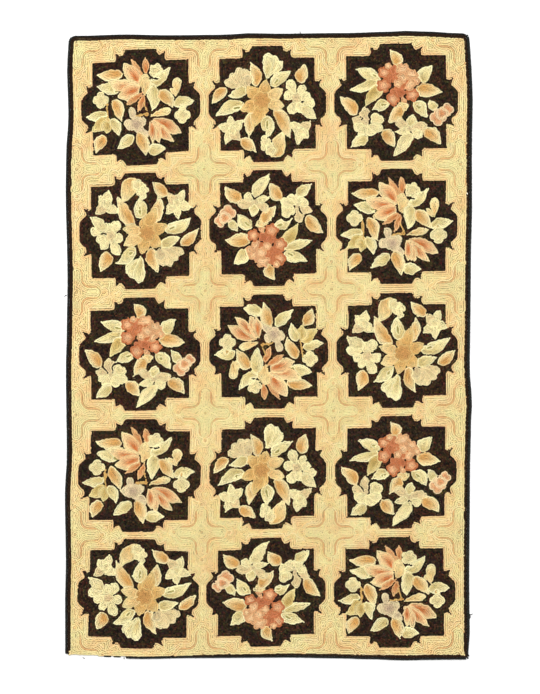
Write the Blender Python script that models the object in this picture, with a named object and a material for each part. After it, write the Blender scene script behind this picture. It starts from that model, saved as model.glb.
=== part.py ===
"""A hooked wool rug that lies flat: a hooked field on its burlap, and the whipped wool edge round it.

Units are metres, and +Z is up. X runs across the rug and Y along it. The origin is on the floor under
the middle of the rug. Sizes below are in millimetres, and MM turns them into metres.
"""

from collections import namedtuple
from math import cos, pi, sin

import bmesh
import bpy

MM = 0.001

# Driving sizes of the rug
WIDTH = 970.0
LENGTH = 1500.0
FIELD_HEIGHT = 7.0
EDGE_HEIGHT = 6.4
SEWN_GAP = 0.3
STATION_STEP = 36.0
CORNER_STEPS = 4
SMALLEST_RADIUS = 1.5

# The four sides, counter-clockwise from the bottom one, and the width of the whipped edge on each
BOTTOM, RIGHT, TOP, LEFT = range(4)
EDGE_WIDTH = (4.6, 6.0, 5.4, 6.0)

# The radius of the corner that each side starts from
CORNER_RADIUS = (3.0, 8.0, 15.0, 17.0)

# How far an edge of the hand-made rug lies outside its straight line, at places along it. On the bottom
# and top sides a place is an X, and on the right and left sides it is a Y.
Station = namedtuple("Station", "place out")
EDGE_STATIONS = {
    BOTTOM: (
        Station(-476, -4.0),
        Station(-430, -0.5),
        Station(-345, 0.5),
        Station(-313, 1.8),
        Station(-179, -0.6),
        Station(57, -1.8),
        Station(157, -0.1),
        Station(258, 2.5),
        Station(325, 5.2),
        Station(393, 3.7),
        Station(460, 3.2),
    ),
    RIGHT: (
        Station(-703, -3.1),
        Station(-573, -4.5),
        Station(-314, -2.8),
        Station(-184, -0.2),
        Station(-141, 2.2),
        Station(-54, -3.3),
        Station(75, -1.6),
        Station(205, -0.4),
        Station(334, 2.4),
        Station(463, 2.0),
        Station(593, 3.9),
        Station(680, 0.8),
        Station(723, -4.0),
    ),
    TOP: (
        Station(-447, -6.6),
        Station(-347, -3.5),
        Station(-246, -5.4),
        Station(-111, -4.2),
        Station(-44, -0.4),
        Station(23, -1.6),
        Station(191, 0.0),
        Station(292, 3.2),
        Station(325, 5.2),
        Station(393, 3.2),
        Station(460, -0.8),
    ),
    LEFT: (
        Station(-703, 3.2),
        Station(-616, 3.4),
        Station(-530, 1.5),
        Station(-357, 3.9),
        Station(-271, -0.7),
        Station(-54, 1.5),
        Station(32, -0.7),
        Station(161, -2.4),
        Station(377, 2.0),
        Station(463, 1.0),
        Station(550, -4.5),
        Station(680, -1.2),
        Station(723, -4.8),
    ),
}

# The rim of the field from the floor up: how far each ring lies in from the field's edge, and its height
Ring = namedtuple("Ring", "inset height")
FIELD_RIM = (
    Ring(1.2, 0.0),
    Ring(0.0, 1.2),
    Ring(0.0, 4.4),
    Ring(0.9, 6.1),
    Ring(2.8, FIELD_HEIGHT),
)

# The section of the whipped edge: 0 across is its outer side and 1 its inner side
EdgePoint = namedtuple("EdgePoint", "across height")
EDGE_SECTION = (
    EdgePoint(0.26, 0.0),
    EdgePoint(0.82, 0.0),
    EdgePoint(1.00, 1.0),
    EdgePoint(1.00, 4.7),
    EdgePoint(0.84, 5.9),
    EdgePoint(0.52, EDGE_HEIGHT),
    EdgePoint(0.20, 5.7),
    EdgePoint(0.00, 4.0),
    EdgePoint(0.00, 1.6),
)

# The stretch of the bottom edge whose whipping has worn away, as X places, and what is left of it there
WORN_FROM = -476.0
WORN_TO = -339.0
WORN_DROP = 1.6
WORN_FADE = 14.0
Tuft = namedtuple("Tuft", "name start end")
LEFT_OVER_TUFTS = (
    Tuft("edge_tuft_1", -392.0, -375.0),
    Tuft("edge_tuft_2", -368.0, -353.0),
)
TUFT_STEP = 4.0
TUFT_OUTER = 0.35

# The four whipped runs: each begins and ends at a fraction of the way round the corner it shares
Run = namedtuple("Run", "name side")
EDGE_RUNS = (
    Run("whipped_edge_bottom", BOTTOM),
    Run("whipped_edge_right", RIGHT),
    Run("whipped_edge_top", TOP),
    Run("whipped_edge_left", LEFT),
)

# Colours as linear RGB
FIELD_COLOUR = (0.80, 0.63, 0.34)
EDGE_COLOUR = (0.010, 0.009, 0.007)


def clear_scene():
    for obj in list(bpy.data.objects):
        bpy.data.objects.remove(obj, do_unlink=True)


def make_material(name, colour, roughness):
    material = bpy.data.materials.new(name)
    material.use_nodes = True
    shader = material.node_tree.nodes["Principled BSDF"]
    shader.inputs["Base Color"].default_value = (*colour, 1.0)
    shader.inputs["Roughness"].default_value = roughness
    shader.inputs["Metallic"].default_value = 0.0
    material.diffuse_color = (*colour, 1.0)
    return material


def out_at(side, place):
    """How far the edge lies outside its straight line there, eased from station to station."""
    stations = EDGE_STATIONS[side]
    if place <= stations[0].place:
        return stations[0].out
    for before, after in zip(stations, stations[1:]):
        if place <= after.place:
            part = (place - before.place) / (after.place - before.place)
            eased = part * part * (3 - 2 * part)
            return before.out + (after.out - before.out) * eased
    return stations[-1].out


def warp(x, y):
    """Moves a point of the straight-sided rug to its place on the hand-made one."""
    side_x = RIGHT if x > 0 else LEFT
    side_y = TOP if y > 0 else BOTTOM
    reach_x = out_at(side_x, y) * abs(x) / (WIDTH / 2)
    reach_y = out_at(side_y, x) * abs(y) / (LENGTH / 2)
    return x + (reach_x if x > 0 else -reach_x), y + (reach_y if y > 0 else -reach_y)


def straight_rim(insets):
    """The rim of the straight-sided rug as (side, x, y), counter-clockwise from the bottom left corner.

    insets holds how far in from the outer edge the rim runs on each side. Every rim has the same
    number of points, so that rims with other insets match point for point.
    """
    low_x, high_x = insets[LEFT] - WIDTH / 2, WIDTH / 2 - insets[RIGHT]
    low_y, high_y = insets[BOTTOM] - LENGTH / 2, LENGTH / 2 - insets[TOP]
    corners = ((low_x, low_y), (high_x, low_y), (high_x, high_y), (low_x, high_y))
    along = ((1, 0), (0, 1), (-1, 0), (0, -1))
    radii = [
        max(CORNER_RADIUS[side] - (insets[side] + insets[side - 1]) / 2, SMALLEST_RADIUS)
        for side in range(4)
    ]
    points = []
    for side in range(4):
        (x, y), (ax, ay) = corners[side], along[side]
        bx, by = along[side - 1]
        radius = radii[side]
        centre = (x + (ax - bx) * radius, y + (ay - by) * radius)
        for step in range(CORNER_STEPS + 1):
            turn = pi / 2 * step / CORNER_STEPS
            owner = side if step * 2 >= CORNER_STEPS else (side - 1) % 4
            points.append(
                (
                    owner,
                    centre[0] + radius * (bx * sin(turn) - ax * cos(turn)),
                    centre[1] + radius * (by * sin(turn) - ay * cos(turn)),
                )
            )
        start = (x + ax * radius, y + ay * radius)
        after = (side + 1) % 4
        end = (corners[after][0] - ax * radii[after], corners[after][1] - ay * radii[after])
        steps = round((WIDTH if ay == 0 else LENGTH) / STATION_STEP)
        for step in range(1, steps):
            part = step / steps
            points.append(
                (side, start[0] + (end[0] - start[0]) * part, start[1] + (end[1] - start[1]) * part)
            )
    return points


def wear_at(side, x):
    """1 where the whipping of the bottom edge has worn away, and 0 elsewhere."""
    if side != BOTTOM:
        return 0.0
    inside = min(x - WORN_FROM, WORN_TO - x)
    return min(1.0, max(0.0, inside / WORN_FADE))


def add_solid(name, mesh_builder, material):
    """Turns a bmesh into an object of its own, with its faces pointing outwards."""
    bmesh.ops.recalc_face_normals(mesh_builder, faces=mesh_builder.faces)
    mesh = bpy.data.meshes.new(name)
    mesh_builder.to_mesh(mesh)
    mesh_builder.free()
    mesh.materials.append(material)
    mesh.shade_smooth()
    mesh.set_sharp_from_angle(angle=pi / 5)
    solid = bpy.data.objects.new(name, mesh)
    bpy.context.scene.collection.objects.link(solid)
    return solid


def bridge_rings(mesh_builder, rings, closed):
    """Joins rings of vertices side by side, all the way round when closed is true."""
    for lower, upper in zip(rings, rings[1:]):
        count = len(lower)
        for i in range(count if closed else count - 1):
            j = (i + 1) % count
            mesh_builder.faces.new((lower[i], lower[j], upper[j], upper[i]))


def hooked_field(material):
    """The burlap and its loops, one cloth, with a soft rim that stands a sewn gap in from the edge."""
    builder = bmesh.new()
    rings = []
    for inset, height in FIELD_RIM:
        insets = [width + SEWN_GAP + inset for width in EDGE_WIDTH]
        ring = []
        for side, x, y in straight_rim(insets):
            drop = WORN_DROP * wear_at(side, x) * height / FIELD_HEIGHT
            wx, wy = warp(x, y)
            ring.append(builder.verts.new((wx * MM, wy * MM, (height - drop) * MM)))
        rings.append(ring)
    bridge_rings(builder, rings, closed=True)
    builder.faces.new(rings[0])
    inner = [width + SEWN_GAP + 12.0 for width in EDGE_WIDTH]
    flat = []
    for _, x, y in straight_rim(inner):
        wx, wy = warp(x, y)
        flat.append(builder.verts.new((wx * MM, wy * MM, FIELD_HEIGHT * MM)))
    bridge_rings(builder, [rings[-1], flat], closed=True)
    builder.faces.new(flat)
    return add_solid("hooked_field", builder, material)


def section_ring(builder, place, outer, inner, sag):
    """One section of the whipped edge between an outer and an inner point of the rim."""
    ring = []
    for across, height in EDGE_SECTION:
        x = outer[0] + (inner[0] - outer[0]) * across
        y = outer[1] + (inner[1] - outer[1]) * across
        level = height - sag * sin(place) * height / EDGE_HEIGHT
        ring.append(builder.verts.new((x * MM, y * MM, level * MM)))
    return ring


def sweep_sections(name, rings, builder, material):
    for before, after in zip(rings, rings[1:]):
        count = len(before)
        for i in range(count):
            j = (i + 1) % count
            builder.faces.new((before[i], before[j], after[j], after[i]))
    builder.faces.new(list(reversed(rings[0])))
    builder.faces.new(rings[-1])
    return add_solid(name, builder, material)


def whipped_edge(run, material):
    """One run of the edge, from the middle of the corner before it to the middle of the one after."""
    outer = straight_rim([0.0] * 4)
    inner = straight_rim(EDGE_WIDTH)
    count = len(outer)
    own = [i for i in range(count) if outer[i][0] == run.side]
    first = next(i for i in own if outer[i - 1][0] != run.side)
    order = [(first + k) % count for k in range(len(own))]
    pairs = [(warp(*outer[i][1:]), warp(*inner[i][1:])) for i in order]
    following = (order[-1] + 1) % count
    pairs.append((warp(*outer[following][1:]), warp(*inner[following][1:])))
    if run.side == BOTTOM:
        pairs = [pair for pair in pairs if pair[1][0] > WORN_TO]
        straight_y = -LENGTH / 2
        start = (warp(WORN_TO, straight_y), warp(WORN_TO, straight_y + EDGE_WIDTH[BOTTOM]))
        pairs.insert(0, start)
    pairs[0] = draw_back(pairs[0], pairs[1])
    pairs[-1] = draw_back(pairs[-1], pairs[-2])
    builder = bmesh.new()
    rings = [section_ring(builder, k * 1.7, *pair, 0.25) for k, pair in enumerate(pairs)]
    return sweep_sections(run.name, rings, builder, material)


def draw_back(pair, towards):
    """Pulls the end of a run in along itself, so that it stands a sewn gap from the next run."""
    moved = []
    for point, target in zip(pair, towards):
        dx, dy = target[0] - point[0], target[1] - point[1]
        far = (dx * dx + dy * dy) ** 0.5
        share = min(0.5, SEWN_GAP / max(far, SEWN_GAP))
        moved.append((point[0] + dx * share, point[1] + dy * share))
    return tuple(moved)


def worn_tuft(tuft, material):
    """A short length of whipping that is still sewn to the worn edge, narrower than the whole edge."""
    steps = round((tuft.end - tuft.start) / TUFT_STEP)
    builder = bmesh.new()
    rings = []
    for step in range(steps + 1):
        part = step / steps
        x = tuft.start + (tuft.end - tuft.start) * part
        thin = TUFT_OUTER + 0.3 * (2 * part - 1) ** 2
        outer_y = -LENGTH / 2 + EDGE_WIDTH[BOTTOM] * thin
        inner_y = -LENGTH / 2 + EDGE_WIDTH[BOTTOM]
        rings.append(section_ring(builder, pi / 2, warp(x, outer_y), warp(x, inner_y), 1.8))
    return sweep_sections(tuft.name, rings, builder, material)


def centre_on_origin(objects):
    """Moves every mesh so that the middle of the whole rug's box is over the origin."""
    points = [vertex.co for obj in objects for vertex in obj.data.vertices]
    middle_x = (min(p.x for p in points) + max(p.x for p in points)) / 2
    middle_y = (min(p.y for p in points) + max(p.y for p in points)) / 2
    for obj in objects:
        for vertex in obj.data.vertices:
            vertex.co.x -= middle_x
            vertex.co.y -= middle_y


def build_rug():
    clear_scene()
    wool = make_material("hooked_wool", FIELD_COLOUR, 0.95)
    edging = make_material("black_whipping", EDGE_COLOUR, 0.9)
    rug = [hooked_field(wool)]
    rug += [whipped_edge(run, edging) for run in EDGE_RUNS]
    rug += [worn_tuft(tuft, edging) for tuft in LEFT_OVER_TUFTS]
    centre_on_origin(rug)
    for obj in rug:
        size = [round(side / MM, 1) for side in obj.dimensions]
        print(obj.name, "measures", size, "mm")


build_rug()
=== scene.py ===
# %% [markdown]
# # A hooked wool rug, loop by loop
# The real rug is one piece of burlap. Strips of wool are pulled up through it as small loops, row after
# row, and the colours of the strips draw the pattern. This lesson lays the rows out the way a rug hooker
# does, from the outline of each shape inwards, and then puts one modelled loop at every stitch.
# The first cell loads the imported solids. They fix the rug's size and outline, and nothing here moves them.

# %% Load the frame
from collections import namedtuple
from math import cos, pi, radians, sin, tau

import bpy
import numpy as np
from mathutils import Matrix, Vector


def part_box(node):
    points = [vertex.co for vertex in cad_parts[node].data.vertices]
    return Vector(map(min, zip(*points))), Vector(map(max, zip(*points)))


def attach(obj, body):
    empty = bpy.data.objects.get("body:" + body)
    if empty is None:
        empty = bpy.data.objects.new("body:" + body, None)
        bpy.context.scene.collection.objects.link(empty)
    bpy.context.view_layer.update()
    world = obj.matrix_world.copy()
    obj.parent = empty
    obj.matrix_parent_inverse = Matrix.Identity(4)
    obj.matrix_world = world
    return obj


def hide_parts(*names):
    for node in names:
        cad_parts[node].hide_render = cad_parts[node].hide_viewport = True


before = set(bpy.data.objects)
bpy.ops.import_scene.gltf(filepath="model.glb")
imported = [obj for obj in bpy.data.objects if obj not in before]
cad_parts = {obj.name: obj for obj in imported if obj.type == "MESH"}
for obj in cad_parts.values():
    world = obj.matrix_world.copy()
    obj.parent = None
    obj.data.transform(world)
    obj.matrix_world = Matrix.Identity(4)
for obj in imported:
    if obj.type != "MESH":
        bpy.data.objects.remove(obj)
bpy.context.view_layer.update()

MM = 0.001
random = np.random.default_rng(41)
print("nodes:", sorted(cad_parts))

# %% [markdown]
# ## The rim of the field
# Every row near the edge of a hooked rug runs along that edge, so the pattern needs the field's true
# outline. It is read from the solid: the points of its upright wall, sorted by their angle round the
# middle, are the rim. Measuring it keeps the wool on the solid even if the solid's sizes change.

# %% Read the rim from the solid
WALL_LOW, WALL_HIGH = 1.0, 1.5


def rim_of(node):
    """The points of the node's wall in millimetres, counter-clockwise."""
    points = np.array([tuple(vertex.co) for vertex in bpy.data.objects[node].data.vertices]) / MM
    wall = points[(points[:, 2] > WALL_LOW) & (points[:, 2] < WALL_HIGH), :2]
    turn = np.arctan2(wall[:, 1], wall[:, 0])
    order = np.argsort(turn)
    wall = wall[order]
    apart = np.linalg.norm(wall - np.roll(wall, 1, axis=0), axis=1) > 0.05
    return wall[apart]


rim = rim_of("hooked_field")
print("rim points:", len(rim), "from", rim.min(axis=0).round(1), "to", rim.max(axis=0).round(1))

# %% [markdown]
# ## The hooker's drawing
# A maker draws the pattern on the burlap before hooking it. Here the drawing is a fine grid of cells,
# and every closed outline that is filled in gets a number of its own. A cell is much smaller than a
# loop, so outlines stay smooth.

# %% A grid to draw on
CELL = 0.8
HALF_ACROSS, HALF_ALONG = 500.0, 768.0
across = np.arange(-HALF_ACROSS, HALF_ACROSS, CELL) + CELL / 2
along = np.arange(-HALF_ALONG, HALF_ALONG, CELL) + CELL / 2
patch = np.zeros((along.size, across.size), np.int16)
NOTHING = 0

Patch = namedtuple("Patch", "kind style base tip width side bow")
patches = [Patch("nothing", None, (0, 0), (1, 0), 1, 0, 0)]


def cells_inside(outline):
    """A window of the grid that holds the outline, and which of its cells lie inside."""
    points = np.asarray(outline, float)
    low = np.clip(((points.min(axis=0) + (HALF_ACROSS, HALF_ALONG)) / CELL).astype(int) - 1, 0, None)
    high = ((points.max(axis=0) + (HALF_ACROSS, HALF_ALONG)) / CELL).astype(int) + 2
    window = (slice(low[1], high[1]), slice(low[0], high[0]))
    inside = np.zeros(patch[window].shape, bool)
    columns, rows = across[window[1]], along[window[0]]
    for (x0, y0), (x1, y1) in zip(points, np.roll(points, -1, axis=0)):
        first, last = np.searchsorted(rows, sorted((y0, y1)))
        if first == last:
            continue
        cut = x0 + (x1 - x0) * (rows[first:last] - y0) / (y1 - y0)
        inside[first:last] ^= columns[None, :] < cut[:, None]
    return window, inside


def draw(outline, kind, style=None, base=(0, 0), tip=(1, 0), width=1.0, side=0, bow=0.0, within=None):
    """Fills an outline with a patch of its own, everywhere or only over the patches named in within."""
    patches.append(Patch(kind, style, base, tip, width, side, bow))
    window, inside = cells_inside(outline)
    if within is not None:
        inside &= np.isin(patch[window], within)
    patch[window][inside] = len(patches) - 1
    return len(patches) - 1


def moved_out(outline, by):
    """The outline with every side moved outwards by so much."""
    points = np.asarray(outline, float)
    side = np.roll(points, -1, axis=0) - points
    side /= np.linalg.norm(side, axis=1)[:, None]
    normal = np.stack([side[:, 1], -side[:, 0]], axis=1)
    before = np.roll(normal, 1, axis=0)
    middle = normal + before
    middle /= np.maximum(np.sum(middle * normal, axis=1), 0.35)[:, None]
    return points + middle * by


# %% [markdown]
# ## The border and the cream ground
# Dark rows are hooked along the rim, wider on some sides than on others, and nearly none at the left of
# the lower edge. On the worn stretch at the lower left they have gone with the whipping, and the cream of
# the ground runs out to the edge.

# %% Draw the border and the ground
DARK_ROW = {"left": 7.4, "right": 5.8, "top": 7.3}
DARK_ROW_BELOW = (
    (-360, 0.2), (-190, 0.4), (-150, 2.2), (-20, 3.0), (60, 4.6), (250, 5.2), (330, 6.6), (470, 5.8),
)
RIGHT_END_WIDER, RIGHT_END = 3.2, (690, 735)
WORN_FROM, WORN_TO, WORN_DEEP = -477.0, -341.0, 18.0
LEFT_END = -740.5


def side_of_rim(x, y):
    """Which run of the edge a point of the rim belongs to."""
    nearer_x = rim[:, 0].max() - abs(x) < rim[:, 1].max() - abs(y)
    if nearer_x:
        return "right" if x > 0 else "left"
    return "top" if y > 0 else "bottom"


def dark_row_at(x, y):
    """How wide the dark rows are beside a point of the rim."""
    side = side_of_rim(x, y)
    if side == "bottom":
        return np.interp(x, *zip(*DARK_ROW_BELOW))
    wider = RIGHT_END_WIDER * np.interp(-y, RIGHT_END, (0, 1)) if side == "right" else 0.0
    return DARK_ROW[side] + wider


border = draw(rim, "border")
dark_rows = np.array([dark_row_at(x, y) for x, y in rim])[:, None]
ground = draw(moved_out(rim, -dark_rows), "ground")
bottom_y = rim[:, 1].min()
worn = [(-500, bottom_y - 5), (WORN_TO, bottom_y - 5), (WORN_TO, bottom_y + WORN_DEEP),
        (WORN_FROM, bottom_y + WORN_DEEP), (WORN_FROM, LEFT_END), (-500, LEFT_END)]
window, inside = cells_inside(worn)
patch[window][inside & (patch[window] == border)] = ground
print("patches:", len(patches))

# %% [markdown]
# ## The medallions and the crosses
# The pattern is a common tile pattern: dark medallions, each a square with a lobe on every side and a
# thorn beside each lobe, and in the cream between them a pale cross at every corner where four tiles
# meet. The rug was drawn by hand, so each medallion has its own place, size, turn and lean.

# %% Medallion places and outline, in millimetres
# These numbers were measured in the photograph: a separate program fitted an outline to each dark shape,
# and its results were rounded and adjusted a little. Turn and lean are in degrees.
Medallion = namedtuple("Medallion", "row column spray turned x y wide tall turn lean")
MEDALLIONS = (
    Medallion(1, 1, "lily", False, -306, 571, 1.01, 1.03, 2.5, 2.0),
    Medallion(1, 2, "star", False, -2, 579, 1.00, 1.03, 1.0, 0.0),
    Medallion(1, 3, "rose", False, 307, 583, 1.05, 1.04, 0.5, 0.0),
    Medallion(2, 1, "star", True, -307, 274, 1.03, 1.03, 1.5, 1.0),
    Medallion(2, 2, "rose", True, 0, 281, 1.00, 1.03, 1.0, 0.0),
    Medallion(2, 3, "lily", False, 308, 285, 1.03, 1.02, 0.5, 1.0),
    Medallion(3, 1, "rose", False, -308, -21, 1.03, 1.00, 1.0, 0.5),
    Medallion(3, 2, "lily", True, 1, -15, 1.01, 1.01, 0.5, -0.5),
    Medallion(3, 3, "star", True, 309, -12, 1.03, 1.02, 1.0, 0.5),
    Medallion(4, 1, "lily", False, -309, -312, 1.04, 1.00, 0.0, 1.5),
    Medallion(4, 2, "star", False, -1, -306, 0.99, 0.99, 1.0, 2.0),
    Medallion(4, 3, "rose", False, 306, -304, 1.03, 1.00, 1.0, 1.5),
    Medallion(5, 1, "star", True, -312, -596, 1.03, 0.97, -1.0, 0.5),
    Medallion(5, 2, "rose", True, -6, -592, 1.01, 0.96, 1.5, 1.5),
    Medallion(5, 3, "lily", False, 303, -592, 1.03, 0.98, 0.5, 0.0),
)

# A quarter of the outline, from the middle of the top lobe round to the middle of the right one
MEDALLION_QUARTER = (
    (0, 135.5), (35.5, 135), (40, 127), (44, 121), (50, 122), (59, 127.5), (57.5, 116), (60, 107.5),
    (114, 107), (114, 52), (121, 51), (132, 56), (127, 45), (126.5, 38), (136, 29.5), (141, 21), (141.5, 0),
)


def medallion_outline():
    """The whole outline, from its quarter, clockwise turned to counter-clockwise."""
    quarter = np.array(MEDALLION_QUARTER)
    half = np.concatenate([quarter, quarter[-2::-1] * (1, -1)])
    whole = np.concatenate([half, half[-2:0:-1] * (-1, 1)])
    return whole[::-1]


def placed(points, medallion):
    """Points drawn round a medallion's own middle, at their places on the rug."""
    p = np.asarray(points, float) * (medallion.wide, medallion.tall)
    c, s = cos(radians(medallion.turn)), sin(radians(medallion.turn))
    lean = radians(medallion.lean)
    x = medallion.x + c * p[:, 0] + (lean - s) * p[:, 1]
    y = medallion.y + c * p[:, 1] + s * p[:, 0]
    return np.stack([x, y], axis=1)


# %% [markdown]
# ## The crosses
# A pale cross with round arms sits where four tiles meet, inside one tan row that follows its outline.
# At the rug's edge only a half or a quarter of it shows. A cross is made from arcs: round arm ends, and
# round crotches between the arms, so growing it by half a row gives the row round it.

# %% Draw the crosses where four tiles meet
TILE_ACROSS, TILE_ALONG = 306.0, 296.0
ARM_HALF, CROTCH, LINE_HALF = 14.0, 19.0, 2.2
ARM_REACH, EYE_RADIUS = 60.0, 3.2
KNOT_AT, KNOT_RADIUS = 66.0, 3.4
# How far the maker's crosses stray from the middle of their four tiles, by the row and column before them
CROSS_STRAYS = {(1, 1): (0, -4), (2, 1): (2, 1), (2, 2): (-3, 0), (3, 1): (3, 1), (3, 2): (2, 2),
                (4, 1): (-3, 3), (4, 2): (-4, 0)}


def cross_outline(grown):
    """A cross with round arm ends and round crotches, grown outwards all round."""
    half, crotch = ARM_HALF + grown, max(CROTCH - grown, 2.0)
    quarter = []
    for step in range(5):
        turn = pi / 2 * step / 4
        quarter.append((ARM_REACH - half + half * cos(turn), half * sin(turn)))
    for step in range(7):
        turn = -pi / 2 - pi / 2 * step / 6
        quarter.append((half + crotch + crotch * cos(turn), half + crotch + crotch * sin(turn)))
    for step in range(5):
        turn = pi / 2 * step / 4
        quarter.append((half * cos(turn), ARM_REACH - half + half * sin(turn)))
    whole = []
    for quarters in range(4):
        c, s = round(cos(quarters * pi / 2)), round(sin(quarters * pi / 2))
        side = quarter[:-1]
        whole += [(c * x - s * y, s * x + c * y) for x, y in side]
    return np.array(whole)


def tile_corners():
    """Where tiles meet: the middle of the four medallions round each corner, made up past the edges."""
    places = {(m.row, m.column): np.array((m.x, m.y)) for m in MEDALLIONS}
    for column in range(1, 4):
        places[0, column] = places[1, column] + (0, TILE_ALONG)
        places[6, column] = places[5, column] - (0, TILE_ALONG)
    for row in range(7):
        places[row, 0] = places[row, 1] - (TILE_ACROSS, 0)
        places[row, 4] = places[row, 3] + (TILE_ACROSS, 0)
    return [
        (places[r, c] + places[r + 1, c] + places[r, c + 1] + places[r + 1, c + 1]) / 4
        + CROSS_STRAYS.get((r, c), (0, 0))
        for r in range(6)
        for c in range(4)
    ]


def small_disc(middle, radius):
    """The outline of a disc of a few stitches."""
    turns = np.arange(0, tau, tau / 10)
    return [(middle[0] + radius * cos(a), middle[1] + radius * sin(a)) for a in turns]


corners = tile_corners()
for corner in corners:
    size = 1 + random.normal(0, 0.03)
    draw(cross_outline(LINE_HALF) * size + corner, "cross_line", within=[ground])
    line = len(patches) - 1
    draw(cross_outline(-LINE_HALF) * size + corner, "cross", within=[line])
    inner = len(patches) - 1
    draw(small_disc(corner, EYE_RADIUS), "cross_eye", within=[inner])
    for quarters in range(4):
        reach = KNOT_AT * np.array((cos(quarters * pi / 2), sin(quarters * pi / 2)))
        draw(small_disc(corner + reach, KNOT_RADIUS), "knot", within=[ground])
print("tile corners:", len(corners), "patches:", len(patches))

# %% [markdown]
# ## The dark medallions
# The medallions are filled with nearly black wool, and one rosier row runs round each of them. Drawing the
# grown outline first and the medallion over it leaves that row between the two.

# %% Draw the medallions over the ground
ROSY_ROW = 3.6
PALE_KINDS = ("ground", "cross_line", "cross", "knot", "cross_eye")
cream = [i for i, p in enumerate(patches) if p.kind in PALE_KINDS]
dark_of = {}
for medallion in MEDALLIONS:
    outline = placed(medallion_outline(), medallion)
    draw(moved_out(outline, ROSY_ROW), "rosy_row", within=cream)
for medallion in MEDALLIONS:
    outline = placed(medallion_outline(), medallion)
    dark_of[medallion] = draw(outline, "dark")
print("medallions:", len(dark_of))

# %% [markdown]
# ## The flower sprays
# Three sprays take turns in the medallions, and some are hooked upside down. They are charted below as
# petals
# and leaves: where each one grows from, where its tip is, how wide it is and how its wool is shaded. A leaf
# is pointed, a petal is blunt, and a puff is a round scalloped flower. The shapes come from formulas,
# because a maker too draws ordinary leaves and petals from a few strokes.

# %% Outlines of leaves, petals and puffs
def spine_outline(base, tip, width, profile, bend=0.0, hook=0.0, steps=13):
    """A closed outline round the line from base to tip, profile wide, with that line bent and hooked."""
    base, tip = np.array(base, float), np.array(tip, float)
    ahead = tip - base
    aside = np.array((-ahead[1], ahead[0])) / np.linalg.norm(ahead)
    t = np.linspace(0, 1, steps)
    middle = base + t[:, None] * ahead + (bend * np.sin(pi * t) + hook * np.sin(tau * t))[:, None] * aside
    half = (profile(t) * width / 2)[:, None] * aside
    return np.concatenate([middle - half, (middle + half)[-2:0:-1]])


def leaf_profile(t):
    """Full near its base, then drawn in to a long sharp tip."""
    return t**0.75 * (1 - t) ** 1.15 / 0.30 + 0.02


def petal_profile(t):
    """Narrow at its root and widest near a blunt tip."""
    return np.sin(pi * np.clip(t, 0, 1) ** 1.5) ** 0.55 * (0.25 + 0.75 * t**0.6) + 0.02 + 0.16 * (1 - t)


def blade_profile(t):
    """A pointed petal, widest past the middle and still wide at its root."""
    return np.sin(pi * t**1.15) ** 0.9 * 0.85 + 0.35 * (1 - t) + 0.03


def puff_outline(middle, radius, lobes, depth=0.13):
    """A round outline with scalloped lobes."""
    a = np.linspace(0, tau, 6 * lobes, endpoint=False)
    r = radius * (1 - 2 * depth * (1 - np.sqrt(np.abs(np.cos(a * lobes / 2)))))
    return np.stack([middle[0] + r * np.cos(a), middle[1] + r * np.sin(a)], axis=1)
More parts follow.
